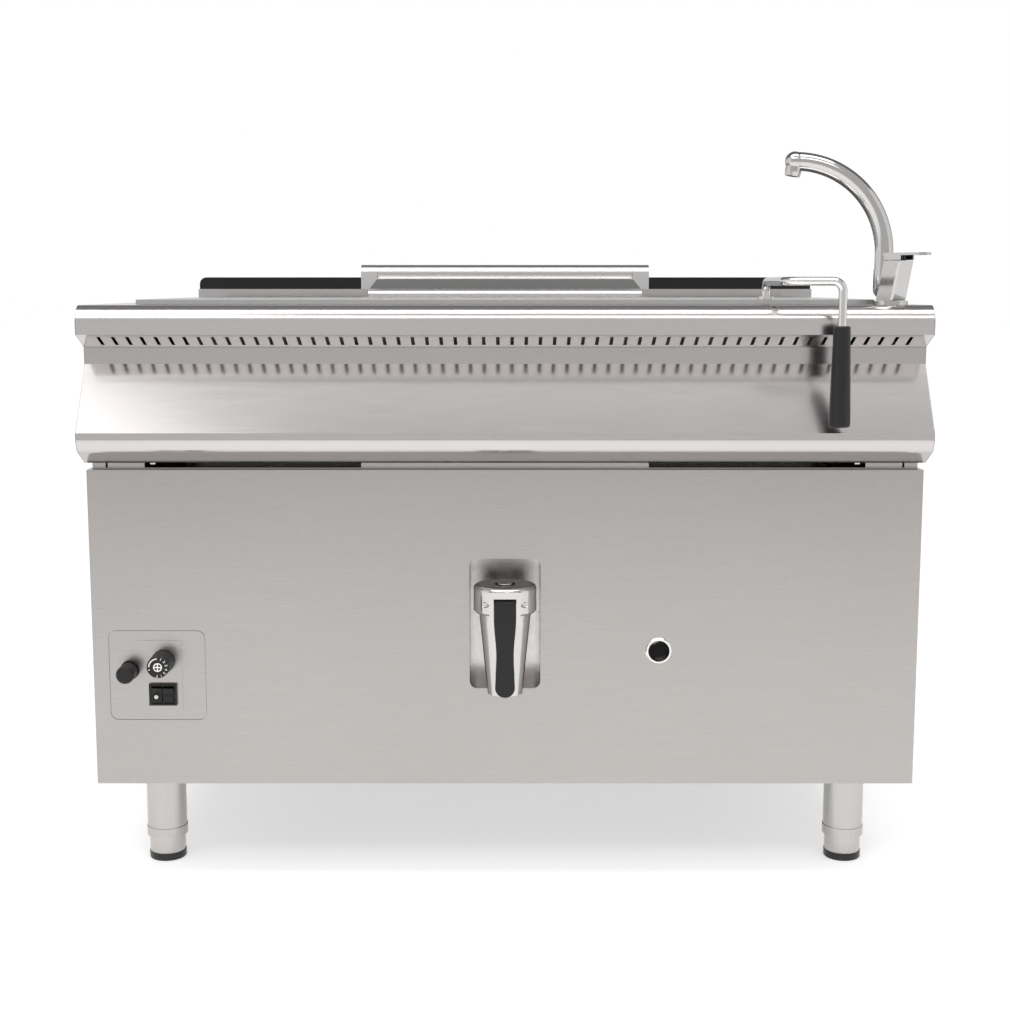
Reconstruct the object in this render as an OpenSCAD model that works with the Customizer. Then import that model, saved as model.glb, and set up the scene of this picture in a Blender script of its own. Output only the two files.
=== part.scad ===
// Gas boiling pan on four adjustable legs: rectangular direct-heated well, balanced lid,
// front drain tap, gas controls and a swivel water mixer.
// Millimetres, +Z up, the front faces -Y, the floor is Z = 0.

/* [Cabinet] */
// Overall width
body_w = 1200; // [1150:1:1400]
// Depth from the crease of the crown to the rear panel
body_d = 900; // [880:1:1000]
// Height of the worktop above the floor
top_h = 850; // [830:1:950]
// Height of the cabinet's underside above the floor
leg_h = 150; // [140:1:180]
// Thickness of the outer steel sheets
sheet_t = 1.5; // [1:0.1:2.5]
// Running gap between sheets that only meet
seam_gap = 0.3; // [0.2:0.1:1]
// How far the front panel stands behind the crease
panel_set = 52; // [46:1:60]
// Height of the front panel
panel_h = 465; // [440:1:480]
// Depth of the folded edge round the front panel
panel_fold = 20; // [12:1:30]

/* [Crown] */
// Radius of the worktop's rounded front edge
nose_r = 25; // [15:1:30]
// How far the rounded edge stands behind the crease
nose_set = 20; // [12:1:30]
// Height of the flat below the rounded edge
nose_flat = 16; // [8:1:24]
// Depth of the undercut below the rounded edge
undercut_d = 42; // [36:1:46]
// Drop of the undercut over its depth
undercut_drop = 18.5; // [10:0.5:24]
// Height of the upright wall behind the undercut
recess_h = 24; // [16:1:32]
// Height of the slanted fascia
fascia_h = 93.5; // [70:0.5:110]
// Height of the flat at the crease
crease_h = 10; // [4:1:16]
// Radius of the roll under the fascia
roll_r = 22; // [14:1:28]
// Slope of the roll's underside in degrees
roll_slope = 27; // [20:1:40]
// Distance from slot to slot
slot_pitch = 20; // [16:1:30]
// Width of a slot
slot_w = 5; // [3:0.5:8]
// Length of a slot along the undercut
slot_l = 30; // [20:1:36]
// Plain length left at each end of the slotted strip
slot_margin = 24; // [20:1:60]

/* [Well] */
// Distance of the well from each side of the cabinet
well_side = 105; // [100:1:150]
// Inside depth of the well, front to back
well_d = 590; // [560:1:600]
// Height of the well's floor above the ground at its front
well_floor = 385; // [370:1:420]
// Radius of the well's upright corners
well_r = 45; // [20:1:80]
// Thickness of the well's sheet
well_t = 2; // [1.5:0.1:3]
// Fall of the well's floor towards the drain in degrees
well_fall = 1.2; // [0.5:0.1:1.8]
// Width of the well's welded rim
rim_w = 18; // [10:1:24]

/* [Lid] */
// How far the lid reaches past the well at each side
lid_over = 41; // [36:1:50]
// Distance of the lid's front edge from the crease
lid_set = 115; // [112:1:125]
// Height of the lid's top above the worktop
lid_h = 7; // [6:0.5:12]
// Depth of the inner tray below the worktop
lid_tray = 10; // [6:1:20]
// Clearance between the inner tray and the well
tray_gap = 7; // [5:1:12]
// Distance of the hinge axis from the rear panel
hinge_set = 55; // [50:1:60]
// Height of the hinge axis above the worktop
hinge_h = 51; // [45:1:60]
// Outside radius of the hinge barrel
barrel_r = 15.5; // [14:0.5:18]
// Wall of the hinge barrel
barrel_t = 2; // [1.5:0.5:3]
// Length of the moving barrel
barrel_l = 484; // [400:1:520]
// Width of a hinge cheek
cheek_w = 31; // [24:1:40]
// Radius of the hinge shaft
shaft_r = 8; // [6:0.5:9]
// Running clearance of shafts and spindles
run_gap = 0.06; // [0.03:0.01:0.1]
// Radius of the roll along the lid's rear edge
hem_r = 10.3; // [8:0.1:11]
// Distance of that roll in front of the hinge axis
hem_set = 50; // [46:1:56]
// Turns of each balance spring
spring_turns = 7; // [4:1:12]
// Wire radius of the balance springs
spring_wire = 1.5; // [1:0.1:1.8]

/* [Lid handle] */
// Radius of the handle rod
rod_r = 6; // [4:0.5:8]
// Distance of the rod's foot from the lid's right edge
rod_foot_in = 152; // [150:1:176]
// Distance of the rod's foot behind the crease
rod_foot_set = 150; // [130:1:200]
// Height of the rod above the worktop
rod_h = 33; // [28:1:40]
// Distance of the grip from the lid's right edge
grip_in = 74; // [66:1:86]
// Distance of the grip's axis in front of the crease
grip_out = 18; // [16:1:30]
// Length of the grip
grip_l = 139; // [110:1:150]
// Radius of the grip at its top
grip_r_top = 11.5; // [9:0.5:13]
// Radius of the grip at its bottom
grip_r_low = 14.8; // [12:0.1:15]
// Drop of the grip's top below the rod
grip_drop = 61; // [50:1:70]

/* [Flue] */
// Distance of the flue box from each side of the cabinet
flue_side = 17; // [10:1:40]
// Depth of the flue box
flue_d = 70; // [66:1:74]
// Height of the flue box above the worktop
flue_h = 21; // [16:1:26]
// Height of the cast flue covers
cover_h = 22; // [16:1:30]
// Radius of the cover's outer corner
cover_r = 13; // [6:1:20]
// Distance of the duct from each end of the burner box
duct_side = 80; // [30:1:180]
// Depth of the duct behind the well
duct_d = 50; // [40:1:54]

/* [Legs] */
// Outside radius of the leg tube
leg_r = 30; // [26:1:34]
// Wall of the leg tube
leg_t = 2; // [1.5:0.5:2.5]
// Radius of the adjustable foot
foot_r = 27; // [22:0.5:27.5]
// Distance of the leg's axis from the side
leg_set_x = 77; // [60:1:100]
// Distance of the leg's axis from the front panel
leg_set_y = 108; // [90:1:140]
// Lower end of the leg tube above the floor
leg_low = 38; // [36:1:50]
// Height of the plastic pad under the foot
pad_h = 12; // [8:1:16]

/* [Drain tap] */
// Width of the recess round the tap
recess_w = 103; // [98:1:130]
// Height of the recess round the tap
recess_z = 192; // [180:1:200]
// Height of the recess' lower edge above the floor
recess_low = 294.5; // [290:0.5:300]
// Depth of the recess round the tap
recess_d = 70; // [65:1:90]
// Corner radius of the cut-outs in the front panel
cut_r = 11; // [6:1:16]
// Outside radius of the drain pipe
drain_r = 22; // [20:1:24]
// Wall of the drain pipe
drain_t = 3; // [2:0.5:4]
// Radius of the tap's upper barrel
tap_r = 45; // [42:1:47]
// Height of the tap's upper barrel
tap_h = 40; // [36:1:46]
// Radius of the tap's spout at its mouth
mouth_r = 25; // [22:1:28]
// Clearance between the spout and the front panel
mouth_gap = 2; // [1:0.5:6]
// Radius of the tap's spout below the barrel
throat_r = 37; // [34:0.5:40]
// Length of the tap's spout below the barrel
tap_drop = 119.5; // [110:0.5:130]
// Width of the frame that holds the lever
yoke_w = 44; // [40:1:50]
// Width of the lever at its top
lever_w = 31; // [26:1:34]
// Width of the lever at its waist
lever_waist = 24.5; // [18:0.5:28]
// Length of the lever below its pin
lever_l = 132; // [120:1:135]
// Thickness of the lever
lever_t = 11; // [8:1:14]
// Radius of the lever's pin
pin_r = 4; // [3:0.5:5]
// Radius of the valve stem
stem_r = 6; // [4:0.5:8]

/* [Controls] */
// Distance of the control plate's middle from the left side
ctrl_set = 93.5; // [84:0.5:110]
// Height of the control plate's middle above the floor
ctrl_z = 314; // [300:1:330]
// Width of the control plate
ctrl_w = 139; // [132:1:144]
// Height of the control plate
ctrl_h = 132; // [128:1:150]
// Gap round the control plate
ctrl_gap = 1; // [0.5:0.5:2]
// Width of the raised field on the control plate
field_w = 64; // [62:1:68]
// Height of the raised field on the control plate
field_h = 104; // [96:1:110]
// Radius of the gas knob
knob_r = 17; // [14:0.5:19]
// How far the gas knob stands out
knob_out = 38; // [30:1:44]
// Travel of the gas knob when it is pushed
knob_push = 4; // [2:0.5:6]
// Radius of the igniter button
piezo_r = 14; // [10:0.5:15]
// How far the igniter button stands out
piezo_out = 37; // [28:1:42]
// Travel of the igniter button
piezo_push = 6; // [3:0.5:8]
// Width of one rocker switch
rocker_w = 16; // [12:0.5:17]
// Height of one rocker switch
rocker_h = 26; // [20:1:28]
// Centre of the sight hole, right of the middle
sight_x = 224; // [200:1:300]
// Height of the sight hole above the floor
sight_z = 350; // [330:1:370]
// Radius of the sight hole
sight_r = 16.5; // [12:0.5:20]

/* [Mixer tap] */
// Distance of the mixer's axis from the right side
mixer_side = 52; // [48:1:55]
// Distance of the mixer's axis behind the crease
mixer_set = 68; // [66:1:70]
// Radius of the mixer's base ring
ring_r = 24; // [20:1:25]
// Height of the mixer's base ring
ring_h = 6; // [4:1:10]
// Side of the square column
column_s = 30.5; // [26:0.5:34]
// Height of the column above the worktop
column_h = 63; // [55:1:80]
// Turn of the column towards the right in degrees
column_turn = 35; // [0:1:60]
// Lean of the column's top towards the lever
column_lean = 12; // [0:1:24]
// Radius of the swan neck's bend
neck_bend = 130; // [110:1:132]
// Radius of the swan neck's tube
neck_r = 13; // [10:0.5:14]
// Height of the bend's middle above the worktop
neck_h = 72; // [60:1:100]
// Length of the mixer's lever
mixer_lever_l = 54; // [45:1:60]
// Width of the mixer's lever
mixer_lever_w = 24; // [16:1:28]
// Radius of the two water pipes
pipe_r = 7.5; // [6:0.5:10]
// Radius of the gas inlet pipe
gas_r = 10.65; // [8:0.05:13.5]
// Radius of the threaded pipe ends
end_r = 10.48; // [8:0.01:13]
// How far the pipes stand out of the rear panel
pipe_out = 32.8; // [20:0.1:60]

/* [Hidden] */

$fn = 64;
steel = [0.72, 0.71, 0.70];
bright = [0.82, 0.81, 0.80];
black = [0.15, 0.15, 0.15];
brass = [0.72, 0.58, 0.30];

half_w = body_w / 2;
inner_w = body_w - 2 * sheet_t;
well_w = body_w - 2 * well_side;
lid_w = well_w + 2 * lid_over;
flue_w = body_w - 2 * flue_side;
rear_y = body_d / 2;
crease_y = -body_d / 2;
panel_y = crease_y + panel_set;
panel_low = leg_h + 0.5;
panel_top = panel_low + panel_h;
// the row's origin lies under the middle of everything, handle grip and pipe ends included
grip_y = crease_y - grip_out;
row_y = -((rear_y + pipe_out) + (grip_y - grip_r_low)) / 2;

nose_y = crease_y + nose_set;
nose_mid = [nose_y + nose_r, top_h - nose_r];
under_y = nose_y + undercut_d;
flat_low = top_h - nose_r - nose_flat;
under_z = flat_low - undercut_drop;
fascia_top = under_z - recess_h;
crease_top = fascia_top - fascia_h;
roll_mid = [crease_y + roll_r, crease_top - crease_h];
roll_end = roll_mid - roll_r * [sin(roll_slope), cos(roll_slope)];
lip_y = panel_y - 7;
crown_low = roll_end[1] - (lip_y - roll_end[0]) * tan(roll_slope);
slope_l = norm([undercut_d, undercut_drop]);
slope_a = atan(undercut_drop / undercut_d);

frame_y = panel_y + 12;
frame_x = half_w - 6;
frame_low = panel_top;
frame_top = crown_low + 24;

base_z = panel_low + sheet_t;
bar = 30;
bar_t = 2;
base_top = base_z + bar;

well_top = top_h - sheet_t;
rim_t = 2;
box_x = well_w / 2 - 15;
box_y = well_d / 2 - 10;
box_back = box_y;
box_rise = 60;
duct_w = 2 * (box_x - duct_side);
burner_r = 22;
burner_end = box_y - 55;
burner_bore = 10;
burner_neck = 8;
rail_t = 6;
rail_w = 20;
rail_y = burner_end - 30;
rail_z = leg_h + 100;
burner_z = rail_z + rail_t + burner_r + seam_gap;
burner_xs = [for (i = [-1.5:1:1.5]) i * box_x / 2];
port_r = 4;
port_pitch = 20;

hinge_y = rear_y - hinge_set;
hinge_z = top_h + hinge_h;
flue_y = rear_y - flue_d;
flue_top = top_h + flue_h;
hem = [hinge_y - hem_set, top_h + hem_r + 0.4];
hem_l = barrel_l + 28;
lid_y = crease_y + lid_set;
lid_back = hem[0] - hem_r - 0.2;
lid_z = top_h + lid_h;
rod_foot_x = lid_w / 2 - rod_foot_in;
grip_x = lid_w / 2 - grip_in;

rod_y = crease_y + rod_foot_set;
rod_z = top_h + rod_h;
grip_top = rod_z - grip_drop;

leg_x = half_w - leg_set_x;
leg_y = panel_y + leg_set_y;
leg_back = rear_y - leg_set_y - 50;

tap_y = panel_y - mouth_r - mouth_gap;
drain_z = well_floor + drain_r - drain_t;
tap_low = drain_z + 11;
tap_top = tap_low + tap_h;
tap_mouth = tap_low - tap_drop;
yoke_y = tap_y - tap_r - 2;
eye_r = 10;
lever_pin_z = tap_low + 16;
lever_pin_y = yoke_y + eye_r + 2;
cam_r = 7;
cam_pin = 2;
cam_z = lever_pin_z + cam_r * sin(45);
cam_travel = 2 * cam_r * sin(45);
arm_w = 8;
arm_h = 8;

ctrl_x = ctrl_set - half_w;
knob_x = ctrl_x + 8.5;
knob_z = ctrl_z + 21;
piezo_x = ctrl_x - 40;
piezo_z = ctrl_z + 8.5;
switch_x = ctrl_x + 7.5;
switch_z = ctrl_z - 28;
face_y = panel_y - 0.8;
field_x = ctrl_x + 3.5;

mixer_x = half_w - mixer_side;
mixer_y = crease_y + mixer_set;
shank_r = 10.8;
column_z = top_h + ring_h;
lever_dir = [sin(column_turn), -cos(column_turn), 0];
column_top = [mixer_x, mixer_y, 0] + column_lean * lever_dir;
neck = [mixer_x - 5, mixer_y + 27];
neck_z = top_h + neck_h;
mixer_top = column_z + column_h;

// places a piece in the row's own frame
module placed() translate([0, row_y, 0]) children();

module along_x(w) rotate([90, 0, 90]) linear_extrude(height = w, center = true) children();

module along_y(d) rotate([90, 0, 0]) linear_extrude(height = d, center = true) children();

// a rod of radius r from point a along one axis: 0 is X, 1 is Y, 2 is Z
module rod(a, r, l, axis) {
  turn = axis == 0 ? [0, 90, 0] : axis == 1 ? [-90, 0, 0] : [0, 0, 0];
  translate(a) rotate(turn) cylinder(r = r, h = l);
}

module round_rect(w, h, r) {
  square([w - 2 * r, h], center = true);
  square([w, h - 2 * r], center = true);
  for (x = [-1, 1], y = [-1, 1]) translate([x * (w / 2 - r), y * (h / 2 - r)]) circle(r);
}

// a box given by its lowest and highest corners
module block(a, b) translate(a) cube(b - a);

// a sheet box: outer corners a and b, wall t, with the face at +Y open
module front_tray(a, b, t) difference() {
  block(a, b);
  block([a[0] + t, a[1] + t, a[2] + t], [b[0] - t, b[1] + 1, b[2] - t]);
}

module square_tube(a, b, axis) difference() {
  block(a, b);
  d = [for (i = [0:2]) i == axis ? -1 : bar_t];
  block(a + d, b - d);
}

// sheet-metal outlines: unit vectors, mitred offsets and the closed profile of a bent sheet
function unit(v) = v / norm(v);
function left_of(v) = [-v[1], v[0]];
function mitre(a, b, c) = let (n = unit(left_of(unit(b - a)) + left_of(unit(c - b))))
  n / (n * left_of(unit(b - a)));
function inside(p, t) = let (e = len(p) - 1) [for (i = [0:e])
  i == 0 ? p[0] + t * left_of(unit(p[1] - p[0])) :
  i == e ? p[e] + t * left_of(unit(p[e] - p[e - 1])) :
  p[i] + t * mitre(p[i - 1], p[i], p[i + 1])];
function reversed(p) = [for (i = [len(p) - 1:-1:0]) p[i]];
function arc(mid, r, from, to, n) =
  [for (i = [0:n]) mid + r * [cos(from + (to - from) * i / n), sin(from + (to - from) * i / n)]];

module bent_sheet(p, t) polygon(concat(p, reversed(inside(p, t))));

nose_path = concat(arc(nose_mid, nose_r, 90, 180, 12), [[nose_y, flat_low], [under_y, under_z]]);
roll_path = arc(roll_mid, roll_r, 180, 270 - roll_slope, 8);
fascia_path = concat([[under_y, under_z - seam_gap], [under_y, fascia_top], [crease_y, crease_top]],
  roll_path, [[lip_y, crown_low], [frame_y - seam_gap, crown_low]]);
crown_outline = concat([[rear_y, top_h]], nose_path, [[under_y, fascia_top], [crease_y, crease_top]],
  roll_path, [[lip_y, crown_low], [rear_y, crown_low]]);

// everything above the well's sloping floor, moved up by lift
module above_floor(lift) translate([0, -well_d / 2, well_floor + lift]) rotate([well_fall, 0, 0])
  translate([-body_w, -100, 0]) cube([2 * body_w, body_d + 200, top_h]);

module base_frame() color(steel) placed() {
  x = half_w - sheet_t - seam_gap;
  y = panel_y + panel_fold + seam_gap;
  back = rear_y - sheet_t - seam_gap;
  square_tube([-x, y, base_z], [x, y + bar, base_top], 0);
  square_tube([-x, back - bar, base_z], [x, back, base_top], 0);
  for (c = [-x + bar / 2, -box_x, box_x, x - bar / 2])
    square_tube([c - bar / 2, y + bar, base_z], [c + bar / 2, back - bar, base_top], 1);
}

module side_panel(side) {
  x = side * half_w;
  y = panel_y + panel_fold + seam_gap;
  back = rear_y - sheet_t - seam_gap;
  block([min(x, x - side * sheet_t), y, panel_low], [max(x, x - side * sheet_t), back, panel_top]);
  in = x - side * (sheet_t + 14);
  for (z = [panel_low, panel_top - sheet_t])
    block([min(x, in), y, z], [max(x, in), back, z + sheet_t]);
}

module side_panel_left() color(steel) placed() side_panel(-1);

module side_panel_right() color(steel) placed() side_panel(1);

module rear_panel() color(steel) placed() difference() {
  block([-half_w + sheet_t + seam_gap, rear_y - sheet_t, panel_low],
    [half_w - sheet_t - seam_gap, rear_y, top_h - sheet_t - seam_gap]);
  rod([knob_x, rear_y - 10, gas_pipe_z], gas_r + seam_gap, 20, 1);
  for (s = [-1, 1]) rod([mixer_x + s * water_gap / 2, rear_y - 10, water_z], pipe_r + seam_gap, 20, 1);
}

module front_panel() color(steel) placed() difference() {
  front_tray([-half_w, panel_y, panel_low], [half_w, panel_y + panel_fold, panel_top], sheet_t);
  translate([0, panel_y, recess_low + recess_z / 2])
    along_y(10) round_rect(recess_w, recess_z, cut_r);
  translate([ctrl_x, panel_y, ctrl_z])
    along_y(10) round_rect(ctrl_w + 2 * ctrl_gap, ctrl_h + 2 * ctrl_gap, cut_r + ctrl_gap);
  rod([sight_x, panel_y - 5, sight_z], sight_r + 1, 10, 1);
}

vent_from = 207;
vent_to = 519;
slit_x = half_w - 26.5;
module top_frame() color(steel) placed() difference() {
  back = rear_y - sheet_t - seam_gap;
  block([-frame_x, frame_y, frame_low], [frame_x, back, frame_top]);
  block([-frame_x + 2, frame_y + 2, frame_low - 1], [frame_x - 2, back - 2, frame_top + 1]);
  for (s = [-1, 1]) {
    block([min(s * vent_from, s * vent_to), frame_y - 1, frame_low + 2],
      [max(s * vent_from, s * vent_to), frame_y + 3, frame_top - 12]);
    block([s * slit_x - 1.5, frame_y - 1, frame_low + 2], [s * slit_x + 1.5, frame_y + 3, frame_top - 12]);
  }
}

slot_n = floor((inner_w - 2 * slot_margin) / slot_pitch) + 1;
module slots() for (i = [0:slot_n - 1])
  translate([(i - (slot_n - 1) / 2) * slot_pitch, nose_y, flat_low]) rotate([-slope_a, 0, 0])
    translate([-slot_w / 2, (slope_l - slot_l) / 2, -5]) cube([slot_w, slot_l, 10]);

module worktop() color(bright) placed() {
  difference() {
    along_x(inner_w) {
      translate([nose_mid[0], top_h - sheet_t]) square([rear_y - nose_mid[0], sheet_t]);
      intersection() {
        translate(nose_mid) difference() {
          circle(nose_r);
          circle(nose_r - sheet_t);
        }
        translate([nose_y, nose_mid[1]]) square(nose_r);
      }
      bent_sheet([[nose_y, nose_mid[1]], [nose_y, flat_low], [under_y, under_z]], sheet_t);
    }
    translate([0, 0, top_h - 5]) linear_extrude(height = 10) round_rect(well_w, well_d, well_r);
    block([-duct_w / 2 + sheet_t, duct_back - duct_d + sheet_t, top_h - 5],
      [duct_w / 2 - sheet_t, duct_back - sheet_t, top_h + 5]);
    rod([mixer_x, mixer_y, top_h - 5], shank_r + 0.2, 10, 2);
    slots();
  }
}

module fascia() color(bright) placed() along_x(inner_w) bent_sheet(fascia_path, sheet_t);

module crown_side(side) translate([side * (half_w - sheet_t / 2), 0, 0]) along_x(sheet_t)
  polygon(crown_outline);

module crown_side_left() color(bright) placed() crown_side(-1);

module crown_side_right() color(bright) placed() crown_side(1);

screw_x = 504;
module crown_screws() color(bright) placed() for (s = [-1, 1]) {
  rod([s * screw_x, lip_y + 8, crown_low - 2.5], 4.5, 2.5, 2);
}

module well_block(grow) intersection() {
  translate([0, 0, well_floor - 50]) linear_extrude(height = well_top - well_floor + 50)
    round_rect(well_w + 2 * grow, well_d + 2 * grow, well_r + grow);
  above_floor(-grow);
}

module well() color(bright) placed() difference() {
  union() {
    well_block(well_t);
    translate([0, 0, well_top - rim_t]) linear_extrude(height = rim_t)
      round_rect(well_w + 2 * rim_w, well_d + 2 * rim_w, well_r + rim_w);
  }
  well_block(0);
  translate([0, 0, well_top - 1]) linear_extrude(height = 5) round_rect(well_w, well_d, well_r);
  rod([0, -well_d / 2 - 20, drain_z], drain_r - drain_t, 40, 1);
}

strainer_r = drain_r - drain_t - seam_gap;
module strainer() color(bright) placed() translate([0, -well_d / 2 + seam_gap, drain_z + 1]) rotate([-90, 0, 0])
  difference() {
    union() {
      cylinder(r = strainer_r - 1, h = 2);
      cylinder(r = strainer_r, h = 26);
    }
    translate([0, 0, -1]) cylinder(r = strainer_r - 2, h = 25);
    for (a = [0:30:150], z = [8, 16]) translate([0, 0, z]) rotate([0, 0, a])
      rotate([0, 90, 0]) cylinder(r = 2.5, h = 3 * strainer_r, center = true);
    for (a = [0:60:300]) rotate([0, 0, a]) translate([13, 0, 0]) cylinder(r = 3, h = 40);
    cylinder(r = 4, h = 40);
  }

module burner_box() color(steel) placed() {
  difference() {
    block([-box_x, -box_y, base_top], [box_x, box_back, well_floor + box_rise]);
    block([-box_x + sheet_t, -box_y + sheet_t, base_top - 1], [box_x - sheet_t, box_back - sheet_t, top_h]);
    above_floor(-well_t - 1);
    block([-duct_w / 2 + sheet_t, box_back - 5, duct_low + sheet_t],
      [duct_w / 2 - sheet_t, box_back + 5, duct_low + duct_d - sheet_t]);
    rod([feed_x, -box_y - 5, burner_z], feed_r + seam_gap, 20, 1);
    rod([sight_x, -box_y - 5, sight_z], sight_r, 10, 1);
  }
  for (y = [-rail_y, rail_y]) block([-box_x + sheet_t, y - rail_w / 2, rail_z],
    [box_x - sheet_t, y + rail_w / 2, rail_z + rail_t]);
}

module burners() color(steel) placed() for (x = burner_xs) difference() {
  union() {
    rod([x, -burner_end, burner_z], burner_r, 2 * burner_end, 1);
    translate([x, burner_end, burner_z]) sphere(burner_r);
    rod([x, -burner_end - burner_neck, burner_z], burner_bore + 4, burner_neck, 1);
  }
  rod([x, -burner_end - burner_neck - 2, burner_z], burner_bore, 2 * burner_end, 1);
  for (y = [-burner_end + port_pitch:port_pitch:burner_end - port_pitch])
    translate([x, y, burner_z]) cylinder(r = port_r, h = 2 * burner_r - port_r);
}

feed_r = 11;
feed_x = -box_x + 25;
feed_y = -burner_end - 32;
feed_over = 30;
jet_r = 5;
jet_l = 22;
valve_y = panel_y + 50;
valve_half = 28;
module gas_manifold() color(brass) placed() {
  rod([feed_x, feed_y, burner_z], feed_r, burner_xs[3] + feed_over - feed_x, 0);
  rod([feed_x, valve_y, burner_z], feed_r, feed_y - valve_y, 1);
  rod([valve_x + valve_half, valve_y, burner_z], feed_r, feed_x - valve_x - valve_half, 0);
  translate([feed_x, feed_y, burner_z]) sphere(feed_r);
  translate([feed_x, valve_y, burner_z]) sphere(feed_r);
  for (x = burner_xs) rod([x, feed_y, burner_z], jet_r, jet_l, 1);
}

valve_x = knob_x;
valve_front = panel_y + sheet_t + 1;
valve_bore = 60;
module gas_valve() color(brass) placed() difference() {
  union() {
    block([valve_x - valve_half, valve_y - 22, burner_z - feed_r - 4],
      [valve_x + valve_half, valve_y + 22, knob_z + 22]);
    rod([valve_x, valve_front + 8, knob_z], 16, valve_y - 22 - valve_front - 8, 1);
  }
  rod([valve_x, valve_front, knob_z], spindle_r + run_gap, valve_bore, 1);
}

gas_pipe_rise = 70;
gas_pipe_z = leg_h + gas_pipe_rise;
module gas_inlet_pipe() color(steel) placed() difference() {
  union() {
    rod([knob_x, valve_y, gas_pipe_z], gas_r, burner_z - feed_r - 4 - gas_pipe_z, 2);
    rod([knob_x, valve_y, gas_pipe_z], gas_r, rear_y - valve_y, 1);
    rod([knob_x, rear_y - 1, gas_pipe_z], end_r, pipe_out + 1, 1);
    translate([knob_x, valve_y, gas_pipe_z]) sphere(gas_r);
  }
  rod([knob_x, rear_y - 40, gas_pipe_z], gas_r - 2.6, 100, 1);
}

duct_low = well_floor - 88;
duct_back = rear_y - sheet_t - 3 * seam_gap - 2;
module flue_duct() color(steel) placed() {
  back = duct_back;
  front = back - duct_d;
  difference() {
    union() {
      block([-duct_w / 2, box_back, duct_low], [duct_w / 2, back, duct_low + duct_d]);
      block([-duct_w / 2, front, duct_low], [duct_w / 2, back, well_top]);
    }
    block([-duct_w / 2 + sheet_t, box_back - 1, duct_low + sheet_t],
      [duct_w / 2 - sheet_t, back - sheet_t, duct_low + duct_d - sheet_t]);
    block([-duct_w / 2 + sheet_t, front + sheet_t, duct_low + sheet_t],
      [duct_w / 2 - sheet_t, back - sheet_t, top_h]);
  }
}

cheek_in = barrel_l / 2 + 0.4;
cover_in = cheek_in + cheek_w + seam_gap;
cover_l = flue_w / 2 - 2 - cover_in;
module flue_box() color(steel) placed() difference() {
  block([-flue_w / 2, flue_y, top_h], [flue_w / 2, rear_y, flue_top]);
  block([-flue_w / 2 + sheet_t, flue_y + sheet_t, top_h - 1],
    [flue_w / 2 - sheet_t, rear_y - sheet_t, flue_top - sheet_t]);
  for (s = [-1, 1]) block([min(s * (cover_in + 15), s * (cover_in + cover_l - 15)), flue_y + 12, flue_top - 5],
    [max(s * (cover_in + 15), s * (cover_in + cover_l - 15)), rear_y - 12, flue_top + 5]);
}

// cast cover seen from the front: its inner end is square, its outer end rounded
cover_wall = 4;
rib_pitch = 22;
module cover_outline(shrink) difference() {
  translate([shrink, 0]) square([cover_l - 2 * shrink, cover_h - shrink]);
  translate([cover_l - cover_r, cover_h - cover_r]) difference() {
    square([cover_r + 1, cover_r + 1]);
    circle(cover_r - shrink);
  }
}

module flue_cover() difference() {
  translate([cover_in, flue_y + 4 + (flue_d - 8) / 2, flue_top]) along_y(flue_d - 8) cover_outline(0);
  translate([cover_in, flue_y + 4 + (flue_d - 8) / 2, flue_top - 0.01])
    along_y(flue_d - 8 - 2 * cover_wall) cover_outline(cover_wall);
  for (x = [cover_in + 18:rib_pitch:cover_in + cover_l - 24])
    block([x, flue_y + 14, flue_top + 5], [x + 10, rear_y - 14, flue_top + cover_h + 1]);
}

module flue_cover_left() color(black) placed() mirror([1, 0, 0]) flue_cover();

module flue_cover_right() color(black) placed() flue_cover();

module cheek() difference() {
  intersection() {
    translate([cheek_in + cheek_w / 2, 0, 0]) along_x(cheek_w) {
      translate([hinge_y, hinge_z]) circle(barrel_r);
      translate([hinge_y - barrel_r, flue_top]) square([2 * barrel_r, hinge_z - flue_top]);
    }
    translate([0, hinge_y, 0]) along_y(60) polygon([[cheek_in, hinge_z + 20], [cheek_in + cheek_w, hinge_z + 20],
      [cheek_in + cheek_w, flue_top], [hem_l / 2 + 1, flue_top], [cheek_in, hinge_z - 13]]);
  }
  rod([0, hinge_y, hinge_z], shaft_r, cheek_in + cheek_w - 6, 0);
  rod([cheek_in + 6, hinge_y - barrel_r - 1, hinge_z - 12], 2.5, 2.5, 1);
}

module hinge_cheeks() color(bright) placed() {
  cheek();
  mirror([1, 0, 0]) cheek();
}

module hinge_shaft() color(bright) placed() rod([-(cheek_in + cheek_w - 6), hinge_y, hinge_z], shaft_r,
  2 * (cheek_in + cheek_w - 6), 0);

// torsion spring: a wire of six flats wound round the shaft
coil_steps = 12;
coil_r = shaft_r + spring_wire + 0.9;
coil_pitch = 2 * spring_wire + 0.6;
function coil_ring(i, n) = let (a = 360 * i / coil_steps, x = coil_pitch * i / coil_steps)
  [for (k = [0:5]) let (r = coil_r + spring_wire * cos(60 * k))
    [x + spring_wire * sin(60 * k), r * cos(a), r * sin(a)]];
module coil() {
  n = spring_turns * coil_steps;
  points = [for (i = [0:n]) each coil_ring(i, n)];
  walls = [for (i = [0:n - 1], k = [0:5]) let (j = (k + 1) % 6)
    each [[6 * i + k, 6 * i + j, 6 * i + 6 + k], [6 * i + j, 6 * i + 6 + j, 6 * i + 6 + k]]];
  polyhedron(points, concat(walls, [[5, 4, 3, 2, 1, 0], [for (k = [0:5]) 6 * n + k]]), convexity = 10);
}

module balance_springs() color(steel) placed() for (s = [0, 1]) mirror([s, 0, 0])
  translate([barrel_l / 2 - 60, hinge_y, hinge_z]) coil();

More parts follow.
